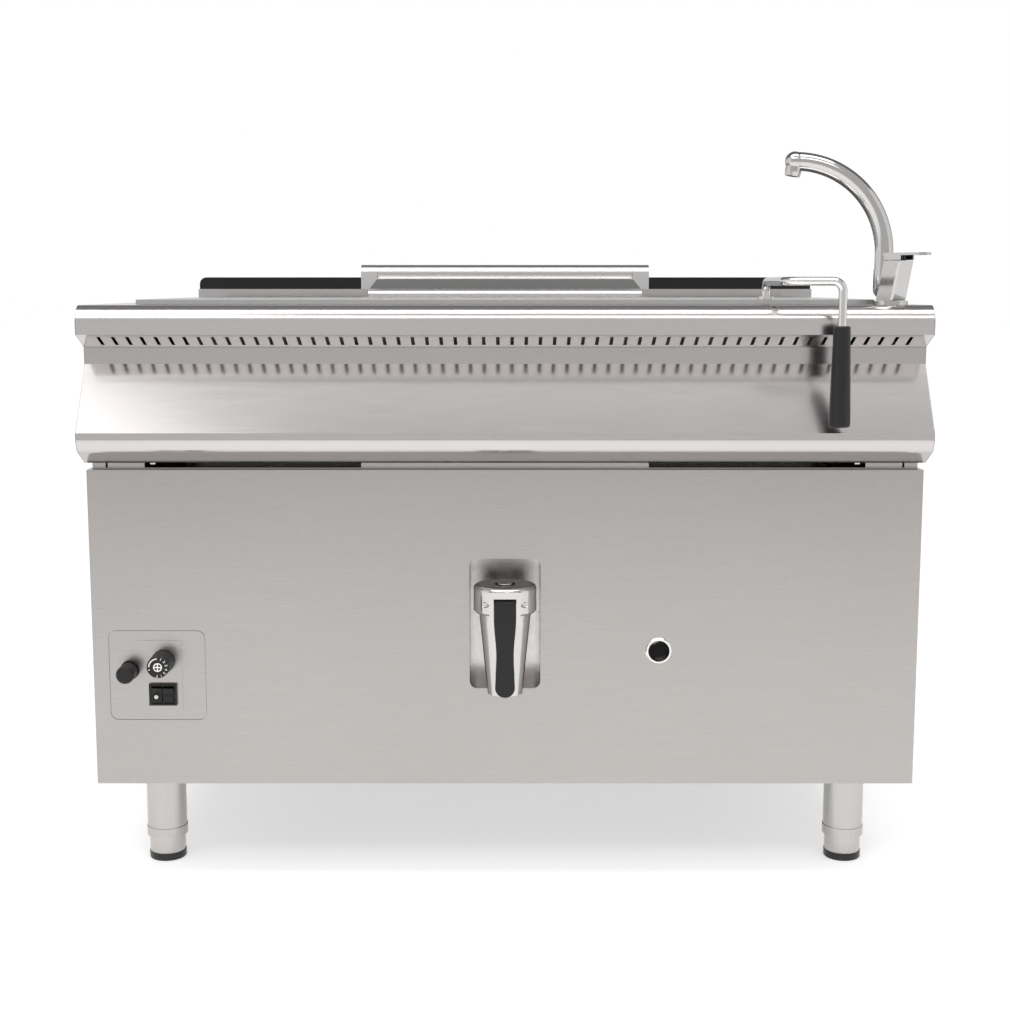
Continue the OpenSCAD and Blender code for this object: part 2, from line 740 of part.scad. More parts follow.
skin_t = 1.5;
skirt_low = top_h + 0.3;
module lid_skin() color(bright) placed() difference() {
  block([-lid_w / 2, lid_y, skirt_low], [lid_w / 2, lid_back, lid_z]);
  block([-lid_w / 2 + skin_t, lid_y + skin_t, skirt_low - 1],
    [lid_w / 2 - skin_t, lid_back - skin_t, lid_z - skin_t]);
  block([-hem_l / 2 - 2, lid_back - skin_t - 1, skirt_low - 1], [hem_l / 2 + 2, lid_back + 1, lid_z - skin_t]);
}

tray_x = well_w / 2 - tray_gap;
tray_y = well_d / 2 - tray_gap;
tray_low = top_h - lid_tray;
tray_top = lid_z - skin_t;
module lid_tray() color(steel) placed() difference() {
  union() {
    translate([0, 0, tray_low]) linear_extrude(height = tray_top - tray_low)
      round_rect(2 * tray_x, 2 * tray_y, well_r - tray_gap);
    block([-tray_x - 14, -tray_y - 8, tray_top - skin_t], [tray_x + 14, tray_y, tray_top]);
  }
  translate([0, 0, tray_low + skin_t]) linear_extrude(height = tray_top)
    round_rect(2 * tray_x - 2 * skin_t, 2 * tray_y - 2 * skin_t, well_r - tray_gap - skin_t);
}

flange_t = 2;
module hinge_strap() color(bright) placed() {
  difference() {
    union() {
      rod([-barrel_l / 2, hinge_y, hinge_z], barrel_r, barrel_l, 0);
      hull() {
        block([-barrel_l / 2 + 3, hinge_y - barrel_r + 1, hinge_z - 10],
          [barrel_l / 2 - 3, hinge_y - barrel_r + 5, hinge_z - 6]);
        block([-hem_l / 2, hem[0] - 3, hem[1] + hem_r - 4], [hem_l / 2, hem[0] + 1, hem[1] + hem_r - 1]);
      }
      rod([-hem_l / 2, hem[0], hem[1]], hem_r, hem_l, 0);
      block([-hem_l / 2, lid_back - 40, tray_top - flange_t], [hem_l / 2, hem[0], tray_top]);
    }
    rod([-barrel_l / 2 + 6, hinge_y, hinge_z], barrel_r - barrel_t, barrel_l - 12, 0);
    rod([-barrel_l / 2 - 1, hinge_y, hinge_z], shaft_r + run_gap, barrel_l + 2, 0);
    rod([-hem_l / 2 + 3, hem[0], hem[1]], hem_r - 2, hem_l - 6, 0);
  }
}

rod_bend = 22;
drop_bend = 14;
module bend(mid, turn, r, angle) translate(mid) rotate(turn) rotate_extrude(angle = angle)
  translate([r, 0]) circle(rod_r);

module handle_rod() color(bright) placed() {
  foot = [rod_foot_x, rod_y, lid_z];
  rod(foot, 2 * rod_r, 4, 2);
  rod(foot, rod_r, rod_z - lid_z - drop_bend, 2);
  bend([rod_foot_x, rod_y - drop_bend, rod_z - drop_bend], [90, 0, 90], drop_bend, 90);
  rod([rod_foot_x, grip_y + rod_bend, rod_z], rod_r, rod_y - drop_bend - grip_y - rod_bend, 1);
  bend([rod_foot_x + rod_bend, grip_y + rod_bend, rod_z], [0, 0, 180], rod_bend, 90);
  rod([rod_foot_x + rod_bend, grip_y, rod_z], rod_r, grip_x - drop_bend - rod_foot_x - rod_bend, 0);
  bend([grip_x - drop_bend, grip_y, rod_z - drop_bend], [90, 0, 0], drop_bend, 90);
  rod([grip_x, grip_y, grip_top - 100], rod_r, rod_z - drop_bend - grip_top + 100, 2);
}

module handle_grip() color(black) placed() translate([grip_x, grip_y, grip_top - grip_l]) difference() {
  rotate_extrude() difference() {
    union() {
      polygon([[0, 0], [grip_r_low - 4, 0], [grip_r_low, 4], [grip_r_low, 10], [grip_r_top, grip_l - 2.5],
        [grip_r_top - 2.5, grip_l], [0, grip_l]]);
      translate([grip_r_low - 4, 4]) circle(4);
      translate([grip_r_top - 2.5, grip_l - 2.5]) circle(2.5);
    }
    translate([-20, -20]) square([20, grip_l + 40]);
  }
  translate([0, 0, grip_l - 100.2]) cylinder(r = rod_r + 0.02, h = 110);
}

drain_wall = -well_d / 2 - well_t;
neck_end = tap_y + tap_r + 6;
recess_back = panel_y + recess_d;
module drain_pipe() color(bright) placed() difference() {
  rod([0, neck_end, drain_z], drain_r, drain_wall - neck_end, 1);
  rod([0, tap_y, drain_z], drain_r - drain_t, drain_wall - tap_y + 1, 1);
}

module tap_recess() color(bright) placed() difference() {
  translate([0, panel_y + sheet_t + (recess_d - sheet_t) / 2, recess_low + recess_z / 2])
    along_y(recess_d - sheet_t) round_rect(recess_w + 2 * sheet_t, recess_z + 2 * sheet_t, cut_r + sheet_t);
  translate([0, panel_y + (recess_d - sheet_t) / 2, recess_low + recess_z / 2])
    along_y(recess_d - sheet_t) round_rect(recess_w, recess_z, cut_r);
  rod([0, panel_y, drain_z], drain_r + seam_gap, 100, 1);
}

tap_round = 6;
seat_z = drain_z - drain_r + 1;
cavity_r = 22;
seat_r = 15;
seat_t = 6;
module tap_profile() {
  polygon([[0, tap_mouth], [mouth_r, tap_mouth], [throat_r, tap_low - 2], [throat_r, tap_low],
    [tap_r - 3, tap_low], [tap_r, tap_low + 3], [tap_r, tap_top - tap_round],
    [tap_r - tap_round, tap_top], [0, tap_top]]);
  translate([tap_r - tap_round, tap_top - tap_round]) circle(tap_round);
}

module tap_body() color(bright) placed() difference() {
  union() {
    translate([0, tap_y, 0]) rotate_extrude() tap_profile();
    block([-yoke_w / 2, yoke_y, tap_low - 10], [yoke_w / 2, tap_y, tap_top - 4]);
    rod([0, tap_y + 20, drain_z], drain_r + 4, neck_end - tap_y - 20, 1);
  }
  block([-lever_w / 2 - 0.5, yoke_y - 1, tap_mouth - 1],
    [lever_w / 2 + 0.5, lever_pin_y + eye_r + 0.5, lever_pin_z + eye_r + 0.5]);
  rod([0, tap_y, tap_mouth - 1], mouth_r - 5, seat_z - seat_t - tap_mouth + 1, 2);
  rod([0, tap_y, tap_mouth], seat_r, seat_z, 2);
  rod([0, tap_y, seat_z], cavity_r, tap_low + 4 - seat_z, 2);
  rod([0, tap_y, drain_z], drain_r - drain_t, 100, 1);
  rod([0, tap_y, seat_z], stem_r + run_gap, tap_top - 5 - seat_z, 2);
  block([-arm_w / 2 - 0.5, lever_pin_y, cam_z - cam_travel - arm_h / 2 - 0.5],
    [arm_w / 2 + 0.5, tap_y, cam_z + arm_h / 2 + 0.5]);
  rod([-yoke_w, lever_pin_y, lever_pin_z], pin_r, 2 * yoke_w, 0);
}

module tap_pin() color(bright) placed() rod([-yoke_w / 2, lever_pin_y, lever_pin_z], pin_r, yoke_w, 0);

// half width of the lever at height h above its lower end
function lever_half(h) = let (s = h / lever_l) s < 0.45 ?
  lever_waist / 2 + 2 * pow(cos(90 * s / 0.45), 2) :
  lever_waist / 2 + (lever_w - lever_waist) / 2 * pow(sin(90 * min(1, (s - 0.45) / 0.4)), 2);
lever_steps = 16;
lever_round = lever_waist / 2 + 2;
lever_front = lever_pin_y - eye_r;
module lever_outline() {
  heights = [for (i = [0:lever_steps]) lever_round + (lever_l - lever_round) * i / lever_steps];
  right = [for (h = heights) [lever_half(h), h]];
  polygon(concat(right, [for (p = reversed(right)) [-p[0], p[1]]]));
  translate([0, lever_round]) circle(lever_half(lever_round));
}

module tap_lever() color(black) placed() {
  difference() {
    union() {
      translate([0, lever_front + lever_t / 2, lever_pin_z - lever_l]) along_y(lever_t) lever_outline();
      rod([-lever_w / 2, lever_pin_y, lever_pin_z], eye_r, lever_w, 0);
    }
    rod([-lever_w, lever_pin_y, lever_pin_z], pin_r + run_gap, 2 * lever_w, 0);
    block([-arm_w / 2 - 0.5, lever_pin_y + 1, lever_pin_z - eye_r - 1],
      [arm_w / 2 + 0.5, lever_pin_y + eye_r + 1, lever_pin_z + eye_r + 1]);
    block([-arm_w / 2 - 0.5, lever_pin_y - eye_r / 2, lever_pin_z + 1],
      [arm_w / 2 + 0.5, lever_pin_y + eye_r + 1, lever_pin_z + eye_r + 1]);
  }
  rod([-arm_w, lever_pin_y + cam_r * cos(45), cam_z], cam_pin, 2 * arm_w, 0);
}

plug_h = 8;
plug_z = seat_z - seat_t - seam_gap - plug_h;
arm_y = lever_pin_y + pin_r + 0.4;
cam_gap = 0.3;
module tap_stem() color(bright) placed() {
  rod([0, tap_y, plug_z], stem_r, cam_z + arm_h / 2 + 2 - plug_z, 2);
  translate([0, tap_y, plug_z]) cylinder(r1 = seat_r + 4, r2 = seat_r + 2, h = plug_h);
  difference() {
    block([-arm_w / 2, arm_y, cam_z - arm_h / 2], [arm_w / 2, tap_y, cam_z + arm_h / 2]);
    block([-arm_w, arm_y - 1, cam_z - cam_pin - cam_gap],
      [arm_w, lever_pin_y + cam_r + cam_pin + cam_gap, cam_z + cam_pin + cam_gap]);
  }
}

module control_plate() color(steel) placed() difference() {
  union() {
    translate([ctrl_x, panel_y + sheet_t / 2, ctrl_z]) along_y(sheet_t) round_rect(ctrl_w, ctrl_h, cut_r);
    block([field_x - field_w / 2, face_y, ctrl_z - field_h / 2],
      [field_x + field_w / 2, panel_y + sheet_t, ctrl_z + field_h / 2]);
    translate([ctrl_x, panel_y + sheet_t * 1.5, ctrl_z]) along_y(sheet_t)
      round_rect(ctrl_w + 12, ctrl_h + 12, cut_r);
  }
  rod([knob_x, panel_y - 10, knob_z], spindle_r + 2, 30, 1);
  rod([piezo_x, panel_y - 10, piezo_z], piezo_r - 3, 30, 1);
  block([switch_x - rocker_w - 2, panel_y - 10, switch_z - rocker_h / 2 - 1],
    [switch_x + rocker_w + 2, panel_y + 10, switch_z + rocker_h / 2 + 1]);
}

spindle_r = 4;
spindle_y = face_y - 20;
module valve_spindle() color(bright) placed() rod([knob_x, spindle_y, knob_z], spindle_r,
  valve_front + 40 - spindle_y, 1);

skirt_out = 6;
module gas_knob() color(black) placed() translate([knob_x, face_y - knob_push - 0.5, knob_z]) rotate([90, 0, 0])
  difference() {
    union() {
      cylinder(r1 = knob_r, r2 = knob_r - 1, h = knob_out - knob_push - 2);
      translate([0, 0, knob_out - knob_push - 2]) cylinder(r1 = knob_r - 1, r2 = knob_r - 2.5, h = 1.5);
    }
    translate([0, 0, -1]) cylinder(r = spindle_r + run_gap, h = 21 - knob_push + 0.5);
    difference() {
      translate([0, 0, -1]) cylinder(r = knob_r - 3, h = skirt_out + 1);
      translate([0, 0, -1]) cylinder(r = spindle_r + 4, h = skirt_out + 2);
    }
    translate([0, 0, knob_out - knob_push - 1.5]) cylinder(r = 6.5, h = 2);
  }

module knob_cap() color(bright) placed() rod([knob_x, face_y - knob_out + 0.2, knob_z], 6.4, 0.8, 1);

module igniter_body() color(black) placed() difference() {
  union() {
    rod([piezo_x, panel_y - 5, piezo_z], piezo_r, face_y - panel_y + 5, 1);
    rod([piezo_x, panel_y - 5, piezo_z], piezo_r - 3.2, 45, 1);
  }
  rod([piezo_x, panel_y - 10, piezo_z], 7 + run_gap, 40, 1);
}

module igniter_button() color(black) placed() {
  reach = piezo_out - 5 - piezo_push - 1;
  translate([piezo_x, panel_y - 5 - piezo_push - 1, piezo_z]) rotate([90, 0, 0]) rotate_extrude()
    difference() {
      union() {
        square([piezo_r - 1, reach - 4]);
        square([piezo_r - 5, reach]);
        translate([piezo_r - 5, reach - 4]) circle(4);
      }
      translate([-30, -5]) square([30, 60]);
    }
  rod([piezo_x, panel_y - 5 - piezo_push - 1, piezo_z], 7, 26, 1);
}

module switch_body() color(black) placed() difference() {
  union() {
    block([switch_x - rocker_w - 4, face_y - 5, switch_z - rocker_h / 2 - 3],
      [switch_x + rocker_w + 4, face_y, switch_z + rocker_h / 2 + 3]);
    block([switch_x - rocker_w - 1.6, face_y - 5, switch_z - rocker_h / 2 - 0.6],
      [switch_x + rocker_w + 1.6, panel_y + 22, switch_z + rocker_h / 2 + 0.6]);
  }
  for (s = [-1, 1]) block([switch_x + s * (rocker_w / 2 + 0.5) - rocker_w / 2, face_y - 6, switch_z - rocker_h / 2],
    [switch_x + s * (rocker_w / 2 + 0.5) + rocker_w / 2, panel_y + 12, switch_z + rocker_h / 2]);
}

rocker_axis_y = face_y - 2;
module rocker(s) translate([switch_x + s * (rocker_w / 2 + 0.5), rocker_axis_y, switch_z])
  along_x(rocker_w - 0.8) intersection() {
    polygon([[-8, -rocker_h / 2 + 2], [-3, 0], [-8, rocker_h / 2 - 2], [9, rocker_h / 2 - 4], [9, -rocker_h / 2 + 4]]);
    circle(rocker_h / 2 - 0.5);
  }

module rocker_left() color(black) placed() rocker(-1);

module rocker_right() color(black) placed() rocker(1);

module sight_bush() color(bright) placed() translate([sight_x, panel_y - 1.5, sight_z]) rotate([-90, 0, 0])
  difference() {
    union() {
      cylinder(r1 = sight_r + 1.5, r2 = sight_r + 3, h = 1.5);
      cylinder(r = sight_r + 0.9, h = 26);
    }
    translate([0, 0, -1]) cylinder(r = sight_r - 1, h = 40);
  }

module mixer_base() color(bright) placed() {
  difference() {
    union() {
      rod([mixer_x, mixer_y, top_h], ring_r, ring_h - 0.4, 2);
      rod([mixer_x, mixer_y, shank_low], shank_r, 40, 2);
      rod([mixer_x, mixer_y, top_h], 9, ring_h + 14, 2);
    }
  }
  difference() {
    rod([mixer_x, mixer_y, top_h - sheet_t - 8], 20, 8, 2);
    rod([mixer_x, mixer_y, top_h - 20], shank_r + 0.05, 30, 2);
  }
}

water_z = top_h - 150;
shank_low = top_h - 40;
water_gap = 50;
tail_r = 4;
module water_pipe(s) {
  tail_x = mixer_x + s * (tail_r + 1);
  x = mixer_x + s * water_gap / 2;
  difference() {
    union() {
      rod([tail_x, mixer_y, water_z], tail_r, shank_low - water_z, 2);
      translate([tail_x, mixer_y, water_z]) sphere(tail_r);
      rod([min(tail_x, x), mixer_y, water_z], tail_r, abs(x - tail_x), 0);
      translate([x, mixer_y, water_z]) sphere(pipe_r);
      rod([x, mixer_y, water_z], pipe_r, rear_y - mixer_y, 1);
      rod([x, rear_y, water_z], end_r, pipe_out, 1);
    }
    rod([x, rear_y - 40, water_z], pipe_r - 1, 100, 1);
  }
}

module water_pipes() color(bright) placed() for (s = [-1, 1]) water_pipe(s);

module mixer_column() color(bright) placed() {
  difference() {
    union() {
      hull() {
        translate([mixer_x, mixer_y, column_z]) rotate([0, 0, column_turn])
          linear_extrude(height = 1) round_rect(column_s, column_s, 3, $fn = 20);
        translate([column_top[0], column_top[1], mixer_top - 8]) rotate([0, 0, column_turn])
          linear_extrude(height = 1) round_rect(column_s, column_s, 3, $fn = 20);
      }
      rod([neck[0], neck[1], column_z + 16], neck_r + 1, 28, 2);
      translate([neck[0], neck[1], column_z + 16]) sphere(neck_r + 1);
      rod([neck[0], mixer_y, column_z + 16], neck_r - 1, neck[1] - mixer_y, 1);
    }
    rod([mixer_x, mixer_y, column_z - 1], 9 + run_gap, 15.5, 2);
    rod([column_top[0], column_top[1], mixer_top - 20], 11 + run_gap, 30, 2);
    rod([neck[0], neck[1], column_z + 30], neck_r - 2, 30, 2);
  }
}

head_lean = 9;
module swan_neck() color(bright) placed() {
  rod([neck[0], neck[1], column_z + 30.2], neck_r - 2.05, 14, 2);
  rod([neck[0], neck[1], column_z + 44.1], neck_r, neck_z - column_z - 44.1, 2);
  translate([neck[0] - neck_bend, neck[1], neck_z]) rotate([90, 0, 0]) rotate_extrude(angle = 88)
    translate([neck_bend, 0]) circle(neck_r);
  translate([neck[0] - neck_bend - 1, neck[1], neck_z + neck_bend]) {
    sphere(neck_r + 0.8);
    rotate([0, 180 + head_lean, 0]) cylinder(r = 11.5, h = 15);
  }
}

module outlet_nozzle() color(bright) placed()
  translate([neck[0] - neck_bend - 1, neck[1], neck_z + neck_bend]) rotate([0, 180 + head_lean, 0])
    translate([0, 0, 15]) difference() {
      cylinder(r1 = 11.5, r2 = 10.5, h = 6);
      translate([0, 0, 2]) cylinder(r = 8.5, h = 10);
    }

module mixer_cartridge() color(black) placed() rod([column_top[0], column_top[1], mixer_top - 19.7], 11,
  19.7, 2);

module mixer_lever() color(bright) placed() translate([column_top[0], column_top[1], mixer_top + 0.3])
  rotate([0, 0, column_turn - 90]) {
    difference() {
      union() {
        linear_extrude(height = 3.5) {
          translate([-column_s / 2, -column_s / 2]) square([column_s, column_s]);
          polygon([[column_s / 2 - 1, -column_s / 2], [mixer_lever_l - 11, -mixer_lever_w / 2],
            [mixer_lever_l - 11, mixer_lever_w / 2], [column_s / 2 - 1, column_s / 2]]);
          translate([mixer_lever_l - mixer_lever_w / 2, 0]) circle(mixer_lever_w / 2);
        }
        for (s = [-1, 1]) translate([-column_s / 2 + 2, s * (column_s / 2 - 1.2) - 1.2, -6.5])
          cube([column_s - 2, 2.4, 7]);
      }
      translate([mixer_lever_l - mixer_lever_w / 2, 0, -1]) cylinder(r = mixer_lever_w / 2 - 4, h = 10);
    }
  }

module leg_places() for (x = [-leg_x, leg_x], y = [leg_y, leg_back]) translate([x, y, 0]) children();

module leg_tubes() color(steel) placed() leg_places() difference() {
  union() {
    translate([0, 0, leg_low]) cylinder(r = leg_r, h = panel_low - leg_low);
    translate([0, 0, leg_low]) cylinder(r = leg_r + 1, h = 14);
    translate([-55, -45, panel_low]) cube([110, 90, sheet_t]);
  }
  translate([0, 0, leg_low - 1]) cylinder(r = leg_r - leg_t, h = panel_low - leg_low);
}

module foot(x, y) translate([x, y, 0]) {
  translate([0, 0, pad_h]) cylinder(r = foot_r, h = 110 - pad_h);
  rotate_extrude() difference() {
    union() {
      translate([0, 3]) square([foot_r + 1, pad_h - 3]);
      square([foot_r - 2, pad_h]);
      translate([foot_r - 2, 3]) circle(3);
    }
    translate([-20, -5]) square([20, 40]);
  }
}

module foot_front_left() color(black) placed() foot(-leg_x, leg_y);

module foot_front_right() color(black) placed() foot(leg_x, leg_y);

module foot_rear_left() color(black) placed() foot(-leg_x, leg_back);

module foot_rear_right() color(black) placed() foot(leg_x, leg_back);

base_frame();
side_panel_left();
side_panel_right();
rear_panel();
front_panel();
top_frame();
worktop();
fascia();
crown_side_left();
crown_side_right();
crown_screws();
well();
strainer();
burner_box();
burners();
gas_manifold();
gas_valve();
gas_inlet_pipe();
flue_duct();
flue_box();
flue_cover_left();
flue_cover_right();
hinge_cheeks();
hinge_shaft();
balance_springs();
lid_skin();
lid_tray();
hinge_strap();
handle_rod();
handle_grip();
drain_pipe();
tap_recess();
tap_body();
tap_pin();
tap_lever();
tap_stem();
control_plate();
valve_spindle();
gas_knob();
knob_cap();
igniter_body();
igniter_button();
switch_body();
rocker_left();
rocker_right();
sight_bush();
mixer_base();
water_pipes();
mixer_column();
swan_neck();
outlet_nozzle();
mixer_cartridge();
mixer_lever();
leg_tubes();
foot_front_left();
foot_front_right();
foot_rear_left();
foot_rear_right();
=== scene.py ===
"""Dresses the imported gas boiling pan: finishes, fine pieces, studio light and camera."""

import logging
import math
from dataclasses import dataclass
from enum import Enum

import bmesh
import bpy
from mathutils import Matrix, Vector


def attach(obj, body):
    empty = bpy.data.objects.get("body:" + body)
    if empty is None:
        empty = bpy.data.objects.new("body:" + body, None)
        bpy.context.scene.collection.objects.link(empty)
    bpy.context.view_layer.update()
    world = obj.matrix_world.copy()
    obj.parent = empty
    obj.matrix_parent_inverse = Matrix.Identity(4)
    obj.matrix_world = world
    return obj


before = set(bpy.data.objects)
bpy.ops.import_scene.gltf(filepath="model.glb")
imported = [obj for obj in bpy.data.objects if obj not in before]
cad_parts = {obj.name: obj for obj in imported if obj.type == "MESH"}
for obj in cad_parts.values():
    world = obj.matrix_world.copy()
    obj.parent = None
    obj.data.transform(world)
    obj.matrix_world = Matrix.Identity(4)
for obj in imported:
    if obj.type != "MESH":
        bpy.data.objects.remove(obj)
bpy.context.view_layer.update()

LOG = logging.getLogger("boiling_pan")
Colour = tuple[float, float, float]
Point = tuple[float, float, float]

WHITE = (1.0, 1.0, 1.0, 1.0)
NOISE_LOW, NOISE_HIGH = 0.3, 0.7
TEXTURE_HEIGHT = 0.0002
MERGE_DISTANCE = 1e-6
DEGREES_PER_HOUR = 30.0


class Grain(Enum):
    """The direction in which a steel sheet was brushed."""

    ALONG_X = (1.0, 60.0, 60.0)
    ALONG_Y = (60.0, 1.0, 60.0)
    ALONG_Z = (60.0, 60.0, 1.0)
    NONE = (8.0, 8.0, 8.0)


class Slot(Enum):
    """The record's material slots; no piece in this script takes them."""

    CHROME = "chrome"
    BLACK_PLASTIC = "black_plastic"


class NodeSheet:
    """A small helper that adds and links shader nodes of one material."""

    def __init__(self, name: str) -> None:
        """Starts a material with a Principled shader.

        Args:
            name: The material's name.
        """
        self.material = bpy.data.materials.new(name)
        self.material.use_nodes = True
        self.tree = self.material.node_tree
        self.shader = self.tree.nodes["Principled BSDF"]

    def add(self, kind: str, **values: object) -> bpy.types.Node:
        """Adds a node and sets its plain properties.

        Args:
            kind: The node's type name.
            **values: Properties to set on it.

        Returns:
            The new node.
        """
        node = self.tree.nodes.new(kind)
        for key, value in values.items():
            setattr(node, key, value)
        return node

    def link(self, source: bpy.types.NodeSocket, target: bpy.types.NodeSocket) -> None:
        """Links two sockets."""
        self.tree.links.new(source, target)

    def place(self, scale: Point = (1.0, 1.0, 1.0)) -> bpy.types.NodeSocket:
        """Object coordinates through a scale.

        Args:
            scale: Factors along the three axes.

        Returns:
            The scaled coordinates.
        """
        coordinates = self.add("ShaderNodeTexCoord")
        mapping = self.add("ShaderNodeMapping")
        mapping.inputs["Scale"].default_value = scale
        self.link(coordinates.outputs["Object"], mapping.inputs["Vector"])
        return mapping.outputs["Vector"]

    def noise(self, vector: bpy.types.NodeSocket, scale: float, detail: float = 3.0) -> bpy.types.NodeSocket:
        """A noise pattern.

        Args:
            vector: The coordinates that it reads.
            scale: The pattern's scale.
            detail: How many finer layers it has.

        Returns:
            The noise value.
        """
        texture = self.add("ShaderNodeTexNoise")
        texture.inputs["Scale"].default_value = scale
        texture.inputs["Detail"].default_value = detail
        self.link(vector, texture.inputs["Vector"])
        return texture.outputs["Fac"]

    def spread(self, value: bpy.types.NodeSocket, low: float, high: float) -> bpy.types.NodeSocket:
        """Maps a noise value's usual span onto a range.

        Args:
            value: The input value.
            low: The output at the span's lower end.
            high: The output at its upper end.

        Returns:
            The mapped value.
        """
        mapper = self.add("ShaderNodeMapRange")
        mapper.inputs["From Min"].default_value = NOISE_LOW
        mapper.inputs["From Max"].default_value = NOISE_HIGH
        mapper.inputs["To Min"].default_value = low
        mapper.inputs["To Max"].default_value = high
        self.link(value, mapper.inputs["Value"])
        return mapper.outputs["Result"]

    def blend(self, value: bpy.types.NodeSocket, first: Colour, second: Colour) -> bpy.types.NodeSocket:
        """Mixes two colours by a value.

        Args:
            value: The share of the second colour.
            first: The first colour.
            second: The second colour.

        Returns:
            The mixed colour.
        """
        mixer = self.add("ShaderNodeMix", data_type="RGBA")
        mixer.inputs["A"].default_value = (*first, 1.0)
        mixer.inputs["B"].default_value = (*second, 1.0)
        self.link(value, mixer.inputs["Factor"])
        return mixer.outputs["Result"]

    def bump(self, height: bpy.types.NodeSocket, strength: float) -> None:
        """Roughens the surface.

        Args:
            height: The height pattern.
            strength: How strongly it shows.
        """
        node = self.add("ShaderNodeBump")
        node.inputs["Strength"].default_value = strength
        node.inputs["Distance"].default_value = TEXTURE_HEIGHT
        self.link(height, node.inputs["Height"])
        self.link(node.outputs["Normal"], self.shader.inputs["Normal"])


@dataclass(frozen=True)
class SteelFinish:
    """Stainless steel sheet with a brushed grain and faint cloudiness."""

    name: str
    colour: Colour
    rough: float
    grain: Grain = Grain.ALONG_X
    grain_depth: float = 0.12
    cloud: float = 0.04
    edge: float = 1.0
    grain_scale: float = 14.0
    cloud_scale: float = 2.2
    rough_spread: float = 0.12

    def material(self) -> bpy.types.Material:
        """Makes the finish.

        Returns:
            The node material.
        """
        sheet = NodeSheet(self.name)
        fine = sheet.noise(sheet.place(self.grain.value), self.grain_scale, 6.0)
        broad = sheet.noise(sheet.place(), self.cloud_scale, 2.0)
        dim = tuple(c * (1.0 - self.cloud) for c in self.colour)
        lit = tuple(min(1.0, c * (1.0 + self.cloud)) for c in self.colour)
        sheet.link(sheet.blend(broad, dim, lit), sheet.shader.inputs["Base Color"])
        sheet.shader.inputs["Metallic"].default_value = 1.0
        sheet.shader.inputs["Specular Tint"].default_value = (self.edge, self.edge, self.edge, 1.0)
        smooth, dull = self.rough * (1.0 - self.rough_spread), self.rough * (1.0 + self.rough_spread)
        sheet.link(sheet.spread(fine, smooth, dull), sheet.shader.inputs["Roughness"])
        sheet.bump(fine, self.grain_depth)
        return sheet.material


@dataclass(frozen=True)
class PlasticFinish:
    """Moulded black plastic with a fine texture."""

    name: str
    colour: Colour
    rough: float
    texture: float = 900.0
    depth: float = 0.15
    shine: float = 0.35
    patch_scale: float = 30.0
    patch_gain: float = 1.35
    rough_spread: float = 0.15

    def material(self) -> bpy.types.Material:
        """Makes the finish.

        Returns:
            The node material.
        """
        sheet = NodeSheet(self.name)
        fine = sheet.noise(sheet.place(), self.texture, 2.0)
        broad = sheet.noise(sheet.place(), self.patch_scale)
        lit = tuple(c * self.patch_gain for c in self.colour)
        sheet.link(sheet.blend(broad, self.colour, lit), sheet.shader.inputs["Base Color"])
        sheet.shader.inputs["Specular IOR Level"].default_value = self.shine
        smooth, dull = self.rough * (1.0 - self.rough_spread), self.rough * (1.0 + self.rough_spread)
        sheet.link(sheet.spread(fine, smooth, dull), sheet.shader.inputs["Roughness"])
        sheet.bump(fine, self.depth)
        return sheet.material


@dataclass(frozen=True)
class FootFinish:
    """A polished foot tube over a black plastic pad, split at one height."""

    name: str
    steel: Colour
    plastic: Colour
    split: float
    smooth: float = 0.24
    dull: float = 0.32

    def material(self) -> bpy.types.Material:
        """Makes the finish.

        Returns:
            The node material.
        """
        sheet = NodeSheet(self.name)
        parts = sheet.add("ShaderNodeSeparateXYZ")
        sheet.link(sheet.place(), parts.inputs["Vector"])
        above = sheet.add("ShaderNodeMath", operation="GREATER_THAN")
        above.inputs[1].default_value = self.split
        sheet.link(parts.outputs["Z"], above.inputs[0])
        sheet.link(sheet.blend(above.outputs["Value"], self.plastic, self.steel), sheet.shader.inputs["Base Color"])
        sheet.link(above.outputs["Value"], sheet.shader.inputs["Metallic"])
        fine = sheet.noise(sheet.place(Grain.ALONG_Z.value), 14.0, 4.0)
        sheet.link(sheet.spread(fine, self.smooth, self.dull), sheet.shader.inputs["Roughness"])
        return sheet.material


@dataclass(frozen=True)
class InkFinish:
    """White printing ink, slightly uneven."""

    name: str = "white_ink"
    colour: Colour = (0.86, 0.86, 0.84)
    patch_scale: float = 2500.0
    wear: float = 0.9
    rough: float = 0.5

    def material(self) -> bpy.types.Material:
        """Makes the finish.

        Returns:
            The node material.
        """
        sheet = NodeSheet(self.name)
        patch = sheet.noise(sheet.place(), self.patch_scale, 2.0)
        dim = tuple(c * self.wear for c in self.colour)
        sheet.link(sheet.blend(patch, dim, self.colour), sheet.shader.inputs["Base Color"])
        sheet.shader.inputs["Roughness"].default_value = self.rough
        return sheet.material


